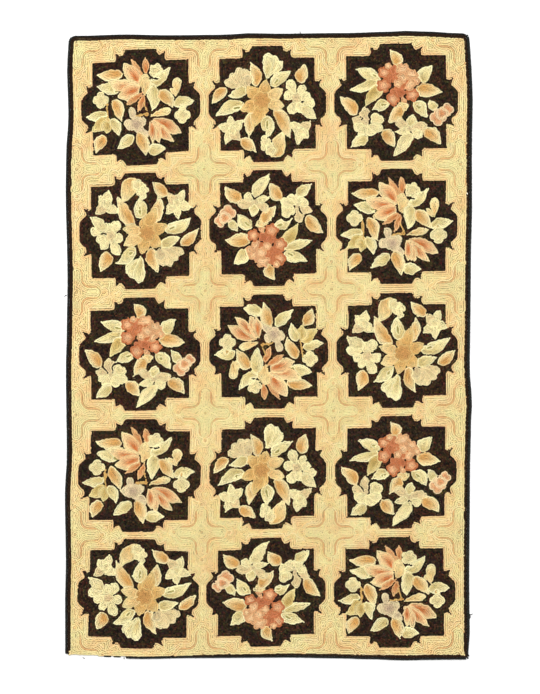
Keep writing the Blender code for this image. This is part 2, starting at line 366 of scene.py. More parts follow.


# %% [markdown]
# ## The charts of the sprays
# A chart lists the pieces of a spray from the lowest to the topmost, as they overlap on the rug. The
# places were set against enlarged views of the photograph, so a spray has its own leaning leaves
# and gaps.

# %% The three sprays, charted in millimetres from the medallion's middle
# kind, shading, where it grows from, where it ends, width (a puff has its radius and number of lobes),
# the side that is hooked lighter, and how far the spine bows to its left; what is left out is nought
LILY_SPRAY = (
    ("leaf", "gold", -41, 77, -105, 80, 31, 1, 2),
    ("leaf", "pale", -50, 39, -104, 52, 30, 1, -2),
    ("leaf", "pale", -79, -10, -132, -19, 26, 1, 2),
    ("leaf", "gold", -67, 22, -45, -35, 30, 1, 3),
    ("leaf", "olive", -73, -26, -118, -52, 32, 1),
    ("leaf", "olive", -78, -26, -82, -62, 28, -1),
    ("leaf", "pale", -70, -24, -52, -69, 26, 1, 3),
    ("petal", "stem", -77, -31, -79, 15, 7),
    ("puff", "cream", -98, 19, 19, 4),
    ("leaf", "gold", -87, -61, -107, -102, 31, -1, -3),
    ("blade", "salmon", 6, 70, -23, 116, 14),
    ("blade", "salmon", 14, 77, 10, 116, 16),
    ("blade", "lily", 0, 48, -43, 104, 33, 1, -1),
    ("blade", "lily", -1, 46, -74, 63, 31, -1, 3),
    ("blade", "lily", 0, 42, -58, 24, 31, 1, 3),
    ("blade", "salmon", 6, 32, -37, 5, 14),
    ("blade", "salmon", 10, 28, -4, -12, 15),
    ("petal", "calyx", 8, 29, 10, 80, 26),
    ("petal", "calyx", 6, 32, 25, 66, 24),
    ("puff", "cream", 35, 83, 19, 5),
    ("leaf", "pale", 24, 47, 72, 91, 28, 1, -4),
    ("leaf", "pale", 30, 52, 27, -11, 33, -1, 2),
    ("petal", "gap", 18, 72, 44, 65, 4, 0, -3),
    ("leaf", "gold", 45, 39, 79, -6, 31, 1, 2),
    ("petal", "honey", 84, 20, 87, 66, 25),
    ("petal", "honey", 83, 22, 69, 42, 12),
    ("leaf", "pale", 78, 3, 130, 9, 30, -1, 2),
    ("petal", "stem", 97, -14, 98, 4, 6),
    ("puff", "cream", 97, -22, 20, 4),
    ("petal", "honey", 22, -20, 72, -9, 21),
    ("petal", "stem", 17, -17, 6, 10, 5),
    ("petal", "stem", 18, -17, -12, -21, 8),
    ("petal", "mauve", -16, -38, -25, -1, 20),
    ("petal", "mauve", -8, -36, -41, -40, 27),
    ("petal", "mauve", -12, -36, 13, -77, 28),
    ("petal", "mauve", -14, -38, 13, -29, 25),
    ("puff", "mauve", -11, -40, 19, 5),
    ("blade", "pink", 23, -33, 98, -64, 31, 0, 4),
    ("blade", "pink", 24, -34, 78, -85, 22),
    ("blade", "pink", 24, -34, 44, -86, 22),
    ("blade", "pink", 24, -32, 28, -84, 18),
    ("leaf", "pale", -15, -63, -59, -98, 29, -1),
    ("leaf", "pale", 12, -98, 59, -101, 30, 1),
    ("leaf", "gold", -5, -60, 13, -117, 31, 1, 2),
    ("puff", "knot", 15, -17, 5, 5),
    ("petal", "vein", -46, 38, -62, 41, 4),
)
STAR_SPRAY = (
    ("leaf", "gold", -24, 39, -42, 99, 31, 1, -5),
    ("petal", "pale", -2, 60, 36, 95, 27),
    ("petal", "pale", -2, 60, 22, 111, 32),
    ("petal", "pale", -3, 58, 5, 119, 28, 1),
    ("leaf", "pale", 8, 39, 58, 75, 31, 1, 4),
    ("leaf", "gold", 79, 45, 92, 93, 33, -1, 3),
    ("petal", "cream", 68, 12, 54, 56, 27),
    ("petal", "cream", 70, 12, 90, 40, 22),
    ("petal", "cream", 70, 10, 104, 17, 25),
    ("petal", "cream", 70, 10, 38, 20, 26),
    ("petal", "cream", 70, 10, 52, -25, 29),
    ("petal", "cream", 72, 8, 81, -22, 26),
    ("petal", "cream", 82, 0, 116, -2, 26),
    ("leaf", "cream", 80, -6, 119, -36, 29),
    ("puff", "shell", 69, 12, 12, 5),
    ("leaf", "pale", -54, 3, -122, -29, 33, 1, -5),
    ("petal", "shell", -54, 38, -101, 53, 24),
    ("petal", "shell", -52, 40, -89, 71, 24),
    ("petal", "shell", -50, 40, -71, 86, 24),
    ("petal", "shell", -48, 40, -53, 84, 26),
    ("petal", "dusk", -46, 38, -45, 68, 22),
    ("leaf", "pale", -43, 34, -94, 18, 28),
    ("leaf", "gold", -94, 37, -135, 0, 28, 1, -3),
    ("leaf", "cream", -86, -61, -89, -24, 25),
    ("leaf", "cream", -86, -60, -121, -49, 25),
    ("leaf", "cream", -86, -60, -60, -36, 25),
    ("leaf", "cream", -86, -60, -102, -94, 25),
    ("leaf", "shell", -86, -60, -66, -86, 25),
    ("puff", "cream", -86, -61, 11, 5),
    ("leaf", "gold", -66, -80, -29, -112, 29, 1, 2),
    ("leaf", "cream", 79, -64, 50, -43, 26),
    ("leaf", "shell", 77, -64, 106, -42, 26),
    ("leaf", "cream", 78, -62, 98, -84, 26),
    ("leaf", "cream", 78, -62, 71, -97, 26),
    ("puff", "cream", 76, -64, 12, 5),
    ("leaf", "honey", 6, -124, 42, -65, 40, 0, -4),
    ("puff", "cream", -3, -97, 17, 5),
    ("puff", "cream", 6, -108, 14, 5),
    ("petal", "cream", -4, -100, -9, -74, 18),
    ("leaf", "gold", -35, -18, -44, -78, 31, -1, -2),
    ("leaf", "gold", 13, -12, 56, -83, 33, 1, 5),
    ("blade", "amber", -18, 6, -64, -14, 28),
    ("blade", "amber", -16, 8, -46, 41, 30),
    ("blade", "amber", -12, 6, -3, 56, 28),
    ("blade", "calyx", -8, 6, 39, 33, 28),
    ("blade", "calyx", -8, 2, 42, -9, 24),
    ("blade", "amber", -14, 2, -11, -36, 30),
    ("blade", "amber", -14, 4, -34, -54, 26),
    ("puff", "ember", -13, 6, 20, 7),
    ("leaf", "pale", -1, -26, 0, -80, 35, 1),
    ("petal", "vein", -1, -60, -1, -38, 5),
    ("petal", "vein", 16, 47, 26, 56, 4),
    ("petal", "vein", -66, -4, -82, -9, 4),
)
ROSE_SPRAY = (
    ("leaf", "gold", 5, 82, -15, 122, 29, -1, -5),
    ("leaf", "pale", 47, 49, 84, 83, 34, 1),
    ("leaf", "gold", 43, 31, 105, 25, 35, -1),
    ("leaf", "pale", -37, 57, -91, 79, 30, -1, -2),
    ("leaf", "pale", -34, 47, -109, 29, 26, 1),
    ("leaf", "olive", -34, 38, -70, -8, 30, 1, -3),
    ("puff", "brick", -3, 22, 14, 5),
    ("puff", "brick", 11, 22, 13, 5),
    ("puff", "brick", -18, 56, 15, 5),
    ("puff", "brick", -6, 74, 13, 5),
    ("puff", "rose", -28, 72, 16, 5),
    ("puff", "blush", -17, 84, 9, 5),
    ("puff", "rose", -28, 39, 17, 5),
    ("puff", "rose", 36, 17, 16, 5),
    ("puff", "rose", -8, 7, 17, 5),
    ("petal", "blush", 10, 14, 21, -7, 16),
    ("puff", "blush", 16, 74, 19, 6),
    ("puff", "blush", 35, 59, 17, 6),
    ("puff", "blush", 47, 48, 10, 5),
    ("puff", "blush", 28, 42, 16, 5),
    ("puff", "rose", 8, 50, 20, 6),
    ("puff", "blush", 16, 56, 14, 5),
    ("puff", "blush", 3, 42, 11, 5),
    ("leaf", "pale", -15, -4, -58, -20, 28, 1, -4),
    ("leaf", "honey", 2, -16, 33, -5, 24),
    ("leaf", "gold", 12, -8, -18, -53, 30, -1, 2),
    ("leaf", "pale", 37, 2, 71, -37, 32, 1, 4),
    ("leaf", "pale", 94, -22, 73, 7, 23),
    ("puff", "pansy", 114, -17, 16, 4),
    ("puff", "pansy", 96, -35, 20, 4),
    ("puff", "pansy", 104, -25, 13, 3),
    ("leaf", "gold", -91, -30, -131, 14, 32, 1, -5),
    ("blade", "shell", -70, -48, -72, -7, 25),
    ("blade", "shell", -72, -48, -104, -37, 23),
    ("puff", "gap", -47, -37, 21, 3),
    ("puff", "cream", -46, -38, 17, 3),
    ("petal", "cream", -72, -50, -97, -61, 24),
    ("petal", "cream", -70, -50, -80, -80, 28),
    ("petal", "cream", -70, -52, -46, -76, 30),
    ("petal", "cream", -68, -54, -31, -61, 24),
    ("puff", "dusk", -70, -49, 6, 5),
    ("petal", "gap", -74, -48, -86, -30, 3, 0, -2),
    ("leaf", "pale", -69, -75, -105, -103, 29, -1),
    ("leaf", "gold", -34, -65, -4, -103, 32, 1, 2),
    ("blade", "pale", 30, -62, 38, -27, 24),
    ("blade", "shell", 32, -62, 73, -55, 25),
    ("petal", "shell", 30, -62, -1, -39, 24),
    ("leaf", "cream", 32, -65, -5, -73, 20),
    ("petal", "cream", 32, -64, 58, -81, 24),
    ("puff", "dusk", 31, -62, 6, 5),
    ("leaf", "cream", 38, -73, -9, -128, 31, 1),
    ("leaf", "gold", 63, -63, 103, -99, 33, 1, 4),
    ("petal", "vein", -44, 60, -58, 66, 4),
    ("petal", "vein", -22, -6, -34, -8, 4),
    ("petal", "vein", 46, -6, 54, -14, 4),
)
SPRAYS = {"lily": LILY_SPRAY, "star": STAR_SPRAY, "rose": ROSE_SPRAY}

# %% [markdown]
# ## Every spray a little different
# The maker drew each spray anew, so no two are alike. Every piece is drawn with a small wander of its base
# and tip, a bend and an uneven outline, and then put in its medallion's place, turn and lean.

# %% Draw a spray in every medallion
PROFILES = {"leaf": leaf_profile, "petal": petal_profile, "blade": blade_profile}
ChartRow = namedtuple("ChartRow", "kind style x0 y0 x1 y1 width side bow", defaults=[0, 0, 0])
# How far the maker's hand strays: in millimetres, as a share of a puff's size, and of a piece's length
WANDER, RAGGED, PUFF_STRAY, BOW_STRAY, HOOK_STRAY = 1.2, 0.7, 0.02, 0.012, 0.018


def draw_piece(row, medallion):
    """Draws one leaf, petal or puff of a spray, with a little of the hooker's own hand in it."""
    kind, style, x0, y0, x1, y1, width, side, bow = ChartRow(*row)
    flip = -1 if medallion.turned else 1
    wander = random.normal(0, WANDER, 4)
    base = (x0 * flip + wander[0], y0 * flip + wander[1])
    if kind == "puff":
        radius, lobes = x1, y1
        outline = placed(puff_outline(base, radius * (1 + wander[2] * PUFF_STRAY), lobes), medallion)
        middle = placed([base, (base[0] + radius, base[1])], medallion)
        draw(outline, "puff", style, tuple(middle[0]), tuple(middle[1]), radius * 2.0, side)
        return
    tip = (x1 * flip + wander[2], y1 * flip + wander[3])
    long = np.hypot(x1 - x0, y1 - y0)
    bow += random.normal(0, BOW_STRAY) * long
    hook = random.normal(0, HOOK_STRAY) * long if kind == "leaf" else 0.0
    outline = spine_outline(base, tip, width, PROFILES[kind], bow, hook)
    outline += random.normal(0, RAGGED, outline.shape)
    ends = placed([base, tip], medallion)
    draw(placed(outline, medallion), kind, style, tuple(ends[0]), tuple(ends[1]), width, side, bow)


for medallion in MEDALLIONS:
    for row in SPRAYS[medallion.spray]:
        draw_piece(row, medallion)
print("patches drawn:", len(patches))

# %% [markdown]
# ## Rows that follow the shapes
# A hooker outlines a shape first and fills it with rows that echo the outline. The same rows come from a
# distance: each cell is measured to the nearest edge of its patch, and a row runs wherever that distance
# is a whole number of row widths. The direction of a row is found from how the distance changes.

# %% Distance from each cell to the edge of its patch
FARTHEST = 44


def boxed(values, reach):
    """The mean of each cell's neighbourhood, reach cells each way."""
    for axis in (0, 1):
        padded = np.concatenate([
            np.repeat(values.take([0], axis), reach + 1, axis), values,
            np.repeat(values.take([-1], axis), reach, axis)], axis)
        total = np.cumsum(padded, axis, dtype=np.float64)
        far = total.take(range(2 * reach + 1, total.shape[axis]), axis)
        values = ((far - total.take(range(values.shape[axis]), axis)) / (2 * reach + 1)).astype(np.float32)
    return values


def edge_distance(patch):
    """Millimetres to the nearest cell that touches another patch."""
    edge = np.zeros(patch.shape, bool)
    for axis in (0, 1):
        change = np.diff(patch, axis=axis) != 0
        first = (slice(None, -1), slice(None)) if axis == 0 else (slice(None), slice(None, -1))
        second = (slice(1, None), slice(None)) if axis == 0 else (slice(None), slice(1, None))
        edge[first] |= change
        edge[second] |= change
    column = np.arange(patch.shape[1], dtype=np.int32)[None, :]
    left = np.maximum.accumulate(np.where(edge, column, -10000), axis=1)
    right = np.minimum.accumulate(np.where(edge, column, 20000)[:, ::-1], axis=1)[:, ::-1]
    flat = np.minimum(np.minimum(column - left, right - column), 1000).astype(np.int32) ** 2
    best = flat.copy()
    for k in range(1, FARTHEST):
        np.minimum(best[k:], flat[:-k] + k * k, out=best[k:])
        np.minimum(best[:-k], flat[k:] + k * k, out=best[:-k])
    return (np.sqrt(best) * CELL + CELL / 2).astype(np.float32)


distance = boxed(edge_distance(patch), 1)
slope_y, slope_x = np.gradient(distance, CELL)
mean_xx = boxed(boxed(slope_x * slope_x, 3), 2)
mean_yy = boxed(boxed(slope_y * slope_y, 3), 2)
mean_xy = boxed(boxed(slope_x * slope_y, 3), 2)
row_turn = (0.5 * np.arctan2(2 * mean_xy, mean_xx - mean_yy) + pi / 2).astype(np.float32)
print("widest patch reaches", round(float(distance[patch > 0].max()), 1), "mm from its edge")

# %% [markdown]
# ## Walking the rows
# A row is walked one stitch at a time. Each step goes along the row and is then nudged back onto it, and
# it stops where it leaves the patch or meets wool that is already there. What the rows leave open in the
# middle of a shape is filled with single stitches, as a hooker fills it.

# %% Walk every row
ROW = {"ground": 4.15, "dark": 4.15, "border": 3.5, "cross": 3.9, "cross_line": 3.9, "rosy_row": 3.9}
STITCH = {"ground": 3.9, "dark": 3.9, "border": 3.9, "cross": 3.7, "cross_line": 3.7, "rosy_row": 3.8}
FLOWER_ROW, FLOWER_STITCH = 3.55, 3.5
CLOSE = 0.78
# A walk's longest run in stitches, the slope below which it isn't nudged, its largest nudge, how far it
# may stray from its row, and how near a row it may start
LONGEST_WALK, FLAT_SLOPE, NUDGE, STRAYED, STARTS_WITHIN = 2000, 0.2, 1.2, 1.3, 0.45

row_of_patch = np.array([ROW.get(p.kind, FLOWER_ROW) for p in patches], np.float32)
stitch_of_patch = np.array([STITCH.get(p.kind, FLOWER_STITCH) for p in patches], np.float32)
row_width = row_of_patch[patch]
row_number = np.floor(distance / row_width)
off_row = np.abs(distance - (row_number + 0.5) * row_width)
taken = patch == NOTHING
REACH = 4
disc_x, disc_y = np.meshgrid(np.arange(-REACH, REACH + 1), np.arange(-REACH, REACH + 1))
discs = {
    stitch: np.hypot(disc_x, disc_y) * CELL < CLOSE * stitch
    for stitch in {float(value) for value in stitch_of_patch}
}
stitches = []


def place_stitch(x, y, turn, owner, strip):
    """Notes a stitch, and marks the cells that its wool takes up."""
    stitches.append((x, y, turn, owner, strip))
    i, j = int((x + HALF_ACROSS) / CELL), int((y + HALF_ALONG) / CELL)
    disc = discs[float(stitch_of_patch[owner])]
    taken[j - REACH : j + REACH + 1, i - REACH : i + REACH + 1] |= disc


def walk(i, j, owner, strip, way):
    """Walks a row one way from a cell that is on it."""
    x, y = float(across[i]), float(along[j])
    level = (float(row_number[j, i]) + 0.5) * float(row_of_patch[owner])
    step = float(stitch_of_patch[owner])
    turn = float(row_turn[j, i])
    dx, dy = cos(turn) * way, sin(turn) * way
    for _ in range(LONGEST_WALK):
        nx, ny = x + dx * step, y + dy * step
        i, j = int((nx + HALF_ACROSS) / CELL), int((ny + HALF_ALONG) / CELL)
        gx, gy = float(slope_x[j, i]), float(slope_y[j, i])
        size = gx * gx + gy * gy
        if size > FLAT_SLOPE:
            off = (level - float(distance[j, i])) / size
            off = max(-NUDGE, min(NUDGE, off))
            nx, ny = nx + gx * off, ny + gy * off
            i, j = int((nx + HALF_ACROSS) / CELL), int((ny + HALF_ALONG) / CELL)
        if patch[j, i] != owner or taken[j, i] or abs(float(distance[j, i]) - level) > STRAYED:
            return
        turn = float(row_turn[j, i])
        if dx * cos(turn) + dy * sin(turn) < 0:
            turn += pi
        dx, dy = cos(turn), sin(turn)
        x, y = nx, ny
        place_stitch(x, y, turn, owner, strip)


strips = 0
rows_j, rows_i = np.nonzero((off_row < STARTS_WITHIN) & ~taken)
first = np.argsort(row_number[rows_j, rows_i] * 1e7 + patch[rows_j, rows_i], kind="stable")
for j, i in zip(rows_j[first].tolist(), rows_i[first].tolist()):
    if taken[j, i]:
        continue
    owner = int(patch[j, i])
    strips += 1
    place_stitch(float(across[i]), float(along[j]), float(row_turn[j, i]), owner, strips)
    walk(i, j, owner, strips, 1)
    walk(i, j, owner, strips, -1)
walked = len(stitches)
rows_j, rows_i = np.nonzero(~taken)
for j, i in zip(rows_j.tolist(), rows_i.tolist()):
    if not taken[j, i]:
        strips += 1
        place_stitch(float(across[i]), float(along[j]), float(row_turn[j, i]), int(patch[j, i]), strips)
print("stitches:", walked, "walked and", len(stitches) - walked, "filled in, from", strips, "strips")

# %% [markdown]
# ## The colours of the wool
# Each strip was cut from cloth dyed or worn in its own way, so no two rows match. Petals and leaves are
# shaded the way hookers shade them: a light outline, a body colour, and a darker heart near the base.
# Every stitch gets one colour, worked out from where it sits in its petal and which strip it belongs to.
# The dyes began from colours of the photograph at single places, and were then matched to the
# mean colour of each kind of petal.

# %% Dye colours
def linear(code):
    """An sRGB hex colour as linear RGB."""
    parts = [int(code[k : k + 2], 16) / 255 for k in (1, 3, 5)]
    return np.array([p / 12.92 if p <= 0.04045 else ((p + 0.055) / 1.055) ** 2.4 for p in parts])


# outline, body, heart and tip of each shading, where the heart sits from base to tip, how far it spreads,
# how strongly a darker midrib shows, and how far across the petal the heart reaches (0 is all across)
Shade = namedtuple("Shade", "rim body heart tip heart_at spread rib across", defaults=[0.0])
SHADES = {
    "pale": Shade("#F6ECB6", "#E8D89A", "#D6C07E", "#F6ECB6", 0.25, 0.24, 0.15),
    "gold": Shade("#F3E4AC", "#E8C888", "#DAA65C", "#F5EAB2", 0.28, 0.28, 0.40),
    "olive": Shade("#EAD898", "#DCC37A", "#CAAA60", "#ECDD9A", 0.32, 0.28, 0.45),
    "cream": Shade("#F4E8AE", "#ECDDA4", "#E0CD92", "#F8EEB6", 0.15, 0.25, 0.0),
    "honey": Shade("#F0DEA2", "#EBD090", "#DDAE66", "#F5EAB0", 0.08, 0.34, 0.0),
    "shell": Shade("#E9D6A0", "#E2CA92", "#D6BC8C", "#EFE0AA", 0.10, 0.35, 0.0),
    "dusk": Shade("#DECB9A", "#D6C08C", "#D2B888", "#E4D2A0", 0.20, 0.40, 0.0),
    "calyx": Shade("#E9D192", "#EACD8C", "#DDB272", "#F2E2A6", 0.15, 0.30, 0.0),
    "stem": Shade("#DAB26A", "#CFA45A", "#B88E4A", "#D9B06A", 0.5, 0.5, 0.0),
    "knot": Shade("#DDAE62", "#D09C50", "#B98440", "#DDAE62", 0.5, 0.5, 0.0),
    "salmon": Shade("#E4B67C", "#DEA76C", "#C8783C", "#E8BE84", 0.10, 0.40, 0.2),
    "lily": Shade("#F2DEA4", "#ECC288", "#CF7034", "#F3E0A6", 0.34, 0.28, 0.0, 0.55),
    "mauve": Shade("#EAD8A8", "#DBC598", "#C6AB8A", "#EEDDAA", 0.12, 0.40, 0.0),
    "pink": Shade("#F0DCA2", "#E6B880", "#CC7438", "#F2DEA4", 0.42, 0.26, 0.0, 0.50),
    "rose": Shade("#C0663A", "#D08A58", "#F0C492", "#C0663A", 0.0, 0.44, 0.0),
    "brick": Shade("#CE8456", "#C87C50", "#BE7046", "#CE8456", 0.30, 0.60, 0.0),
    "blush": Shade("#D8A06C", "#E2B27E", "#EFCD9A", "#D8A06C", 0.0, 0.50, 0.0),
    "pansy": Shade("#F3E2B0", "#E9BE8C", "#D99660", "#F3E2B0", 0.05, 0.55, 0.0),
    "amber": Shade("#E2C07A", "#E0B870", "#D4A25C", "#EBD492", 0.05, 0.45, 0.3),
    "ember": Shade("#D8AC66", "#D4A662", "#CC9A58", "#D8AC66", 0.4, 0.6, 0.0),
    "gap": Shade("#2E2016", "#2A1E14", "#2A1E14", "#2E2016", 0.5, 0.5, 0.0),
    "vein": Shade("#AFA45E", "#8F8440", "#7A6C2C", "#AFA45E", 0.4, 0.6, 0.0),
}
PLAIN = {
    "ground": "#EBD393",
    "rosy_row": "#E7C388",
    "cross_line": "#DBAF74",
    "cross": "#EAD798",
    "cross_eye": "#D8BA7E",
    "knot": "#E2C084",
    "dark": "#2A2018",
    "border": "#2E1D10",
    "nothing": "#000000",
}
UNSHADED = "#F2DB9A"
DARKS = ("#372516", "#2B2316", "#392216", "#2C1E16", "#352917")
# What age does to red, green and blue in the pale wool: its yellow has greyed a little
AGE_FADE = np.array((0.940, 0.952, 1.01))
CREAMS = ("#EDD79A", "#E6CA87", "#EBCF96", "#EBC98A", "#E6D394", "#F1DDA6")

# %% [markdown]
# ## From dyes to stitches
# Each stitch knows how far it lies from base to tip of its petal, how far across, and how deep inside the
# outline. These three mix the outline, body, heart and tip dyes. Soft blotches of peach and pale green
# mottle the ground, because its strips came from unevenly dyed cloth.

# %% Colour every stitch
stitch = np.array([row[:3] for row in stitches])
owner = np.array([row[3] for row in stitches])
strip = np.array([row[4] for row in stitches])
count = len(stitches)
cell_i = ((stitch[:, 0] + HALF_ACROSS) / CELL).astype(int)
cell_j = ((stitch[:, 1] + HALF_ALONG) / CELL).astype(int)
depth_in = distance[cell_j, cell_i]
kind_of = np.array([p.kind for p in patches])[owner]
style_of = np.array([p.style or "" for p in patches])[owner]


def smooth(low, high, value):
    """A soft step from 0 to 1 between low and high."""
    t = np.clip((value - low) / (high - low), 0, 1)
    return t * t * (3 - 2 * t)


def patchy(x, y, size, seed):
    """Soft uneven noise from -1 to 1, in blotches of about size millimetres."""
    maker = np.random.default_rng(seed)
    grid = maker.uniform(-1, 1, (int(2 * HALF_ALONG / size) + 3, int(2 * HALF_ACROSS / size) + 3))
    u, v = (x + HALF_ACROSS) / size, (y + HALF_ALONG) / size
    i, j = u.astype(int), v.astype(int)
    a, b = smooth(0, 1, u - i), smooth(0, 1, v - j)
    low = grid[j, i] * (1 - a) + grid[j, i + 1] * a
    high = grid[j + 1, i] * (1 - a) + grid[j + 1, i + 1] * a
    return low * (1 - b) + high * b


def mix(first, second, share):
    """The first colours with so much of the second in them."""
    share = np.asarray(share, float)[..., None]
    return first * (1 - share) + second * share


MOTTLE_MM, FINE_MOTTLE_MM, FINE_MOTTLE_SHARE = 24, 10, 0.6
CREAM_SHARE, PEACH_SHARE, MINT_SHARE = 0.55, 0.36, 0.45
OUTLINE_FROM, OUTLINE_TO, RIB_HALF = 1.2, 4.4, 1.7
# How fast the lit side of a petal brightens, and what it, the tip and the midrib add
LIT_RISE, LIT_EDGE, LIT_SHARE, TIP_SHARE, RIB_SHADE = 1.6, 0.4, 0.6, 0.9, 0.8
DARK_STITCH_TONE = 0.38
# How much the tone differs from strip to strip, and each dye from stitch to stitch
DARK_SPREAD, FLOWER_SPREAD, GROUND_SPREAD = 0.10, 0.055, 0.022
DARK_WARMTH, PALE_WARMTH = 0.18, 0.015

strip_tone = random.normal(0, 1, strips + 1)[strip]
stitch_tone = random.normal(0, 1, count)
colour = np.array([linear(PLAIN.get(p.kind, UNSHADED)) for p in patches])[owner]

is_cream = kind_of == "ground"
creams = np.array([linear(code) for code in CREAMS])
pick = random.integers(0, len(CREAMS), strips + 1)[strip]
colour[is_cream] = mix(colour, creams[pick], np.full(count, CREAM_SHARE))[is_cream]
blotch = patchy(stitch[:, 0], stitch[:, 1], MOTTLE_MM, 5)
blotch += FINE_MOTTLE_SHARE * patchy(stitch[:, 0], stitch[:, 1], FINE_MOTTLE_MM, 6)
peach, mint = linear("#E9B67C"), linear("#E3DE9E")
light = np.isin(kind_of, ("ground", "cross", "rosy_row", "cross_line"))
colour[light] = mix(colour, peach, np.clip(blotch, 0, 1) * PEACH_SHARE)[light]
colour[light] = mix(colour, mint, np.clip(-blotch, 0, 1) * MINT_SHARE)[light]

is_dark = kind_of == "dark"
darks = np.array([linear(code) for code in DARKS])
pick = random.integers(0, len(DARKS), strips + 1)[strip]
colour[is_dark] = darks[pick][is_dark] * (1 + DARK_STITCH_TONE * stitch_tone[is_dark, None].clip(-2, 2))

base_of = np.array([p.base for p in patches], float)[owner]
tip_of = np.array([p.tip for p in patches], float)[owner]
half_of = np.array([p.width for p in patches], float)[owner] / 2
side_of = np.array([p.side for p in patches], float)[owner]
ahead = tip_of - base_of
length = np.linalg.norm(ahead, axis=1)
ahead /= length[:, None]
offset = stitch[:, :2] - base_of
bow_of = np.array([p.bow for p in patches], float)[owner]
t_along = np.sum(offset * ahead, axis=1) / length
to_side = offset[:, 1] * ahead[:, 0] - offset[:, 0] * ahead[:, 1]
to_side -= bow_of * np.sin(pi * np.clip(t_along, 0, 1))
t_side = to_side / half_of
is_puff = kind_of == "puff"
t_along[is_puff] = (np.linalg.norm(offset, axis=1) / np.maximum(length, 1))[is_puff]

lit = np.clip(side_of * t_side * LIT_RISE, -1, 1)
outline_share = (1 - smooth(OUTLINE_FROM, OUTLINE_TO, depth_in)) * (1 - LIT_EDGE + LIT_EDGE * lit)
tip_share = np.where(is_puff, 0.0, smooth(0.55, 1.0, t_along))
on_rib = np.exp(-((to_side / RIB_HALF) ** 2)) * smooth(0.02, 0.15, t_along)
on_rib *= 1 - smooth(0.6, 0.85, t_along)
for name, shade in SHADES.items():
    chosen = style_of == name
    rim_c, body_c, heart_c, tip_c = (linear(code) for code in shade[:4])
    heart = np.exp(-(((t_along - shade.heart_at) / shade.spread) ** 2)) * smooth(0.0, 4.5, depth_in)
    if shade.across:
        heart *= np.exp(-((t_side / shade.across) ** 2))
    tint = mix(body_c, heart_c, heart * (1 - LIT_SHARE * np.clip(lit, 0, 1)))
    tint = mix(tint, rim_c, LIT_SHARE * np.clip(lit, 0, 1))
    tint = mix(tint, tip_c, TIP_SHARE * tip_share)
    tint = mix(tint, heart_c * RIB_SHADE, shade.rib * on_rib)
    tint = mix(tint, rim_c, outline_share)
    colour[chosen] = tint[chosen]

in_flower = style_of != ""
spread = np.where(in_flower, FLOWER_SPREAD, GROUND_SPREAD)
spread = np.where(is_dark | (kind_of == "border"), DARK_SPREAD, spread)
colour *= (1 + spread * strip_tone.clip(-2, 2) + spread * 0.9 * stitch_tone.clip(-2, 2))[:, None]
warmth = random.normal(0, 1, (count, 3)) * np.where(is_dark, DARK_WARMTH, PALE_WARMTH)[:, None]
colour[~is_dark] *= AGE_FADE
colour = np.clip(colour * (1 + warmth), 0.002, 0.95)
# A bit of pale lint is caught in the border at the right edge
LINT_AT, LINT_RADIUS = (477.0, 363.0), 2.4
colour[np.hypot(*(stitch[:, :2] - LINT_AT).T) < LINT_RADIUS] = linear("#EDE9DC")
print("coloured", count, "stitches in", len(SHADES) + len(PLAIN), "dyes")

# %% [markdown]
# ## One loop, copied to every stitch
# A hooked loop stands a few millimetres proud of the burlap, narrow at its crown and pressed against its
# neighbours. One is modelled from a cube: its top is pinched to a ridge, which leaves eight triangles.
# Tens of thousands of copies are written into joined meshes, one for each block of the pattern, each copy
# turned along its row and a little different in height.

# %% Helpers for modelling by hand
def deselect():
    """Deselects everything, because an operator acts on all that is selected."""
    bpy.ops.object.select_all(action="DESELECT")


def finish_piece(obj, name, material):
    """Names a modelled object, gives it its material and has it ride on the rug."""
    obj.name = name
    obj.data.name = name
    obj.data.materials.clear()
    obj.data.materials.append(material)
    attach(obj, "root")
    return obj


def choose_points(obj, test):
    """Selects the points of a mesh that pass a test, in edit mode."""
    bpy.ops.mesh.select_all(action="DESELECT")
    bpy.ops.object.mode_set(mode="OBJECT")
    for vertex in obj.data.vertices:
        vertex.select = bool(test(vertex.co))
    bpy.ops.object.mode_set(mode="EDIT")


# %% [markdown]
# ## The loop's shape
# Seen from above, a loop is a short rounded ridge along its row. A ridge with a wide foot covers the burlap
# from every side with few faces, so its crown is pinched to a line and shorter than its foot.

# %% Model the loop
CROWN_LONG, CROWN_WIDE = 0.52, 0.0


def model_loop():
    """A loop one unit long, wide and high, with its crown a ridge along X."""
    deselect()
    bpy.ops.mesh.primitive_cube_add(size=1, location=(0, 0, 0.5))
    obj = bpy.context.object
    bpy.ops.object.transform_apply(location=True)
    bpy.ops.object.mode_set(mode="EDIT")
    bpy.ops.mesh.select_mode(type="VERT")
    choose_points(obj, lambda co: co.z > 0.5)
    bpy.ops.transform.resize(value=(CROWN_LONG, CROWN_WIDE, 1))
    bpy.ops.mesh.select_all(action="SELECT")
    bpy.ops.mesh.remove_doubles(threshold=0.001)
    bpy.ops.mesh.normals_make_consistent(inside=False)
    bpy.ops.object.mode_set(mode="OBJECT")
    points = np.array([tuple(v.co) for v in obj.data.vertices])
    faces = sorted((tuple(f.vertices) for f in obj.data.polygons), key=lambda f: points[list(f), 2].max())
    bpy.data.objects.remove(obj)
    return points, faces


loop_points, loop_faces = model_loop()
print("one loop:", len(loop_points), "points,", len(loop_faces), "faces")

# %% [markdown]
# ## Laying the loops
# Every stitch gets its own copy of the loop. The copies overlap a little along the row and across it, as
# packed wool does, and their feet get painted shade, a little darker, where less light comes between them.

# %% Lay the loops
LOOP_FOOT, LOOP_CROWN = 4.8, 6.6
OVERLAP_LONG, OVERLAP_WIDE = 1.22, 1.16
# Painted shade: the colour at the loops' feet is darkened to this share
PAINTED_FOOT_SHADE = 0.90
# How unevenly the loops are pulled: shares of length and width, radians, and millimetres up and sideways
LONG_UNEVEN, WIDE_UNEVEN, TURN_UNEVEN, CROWN_UNEVEN, PLACE_UNEVEN = 0.05, 0.04, 0.10, 0.22, 0.22
BLOTCH_RISE = 0.25

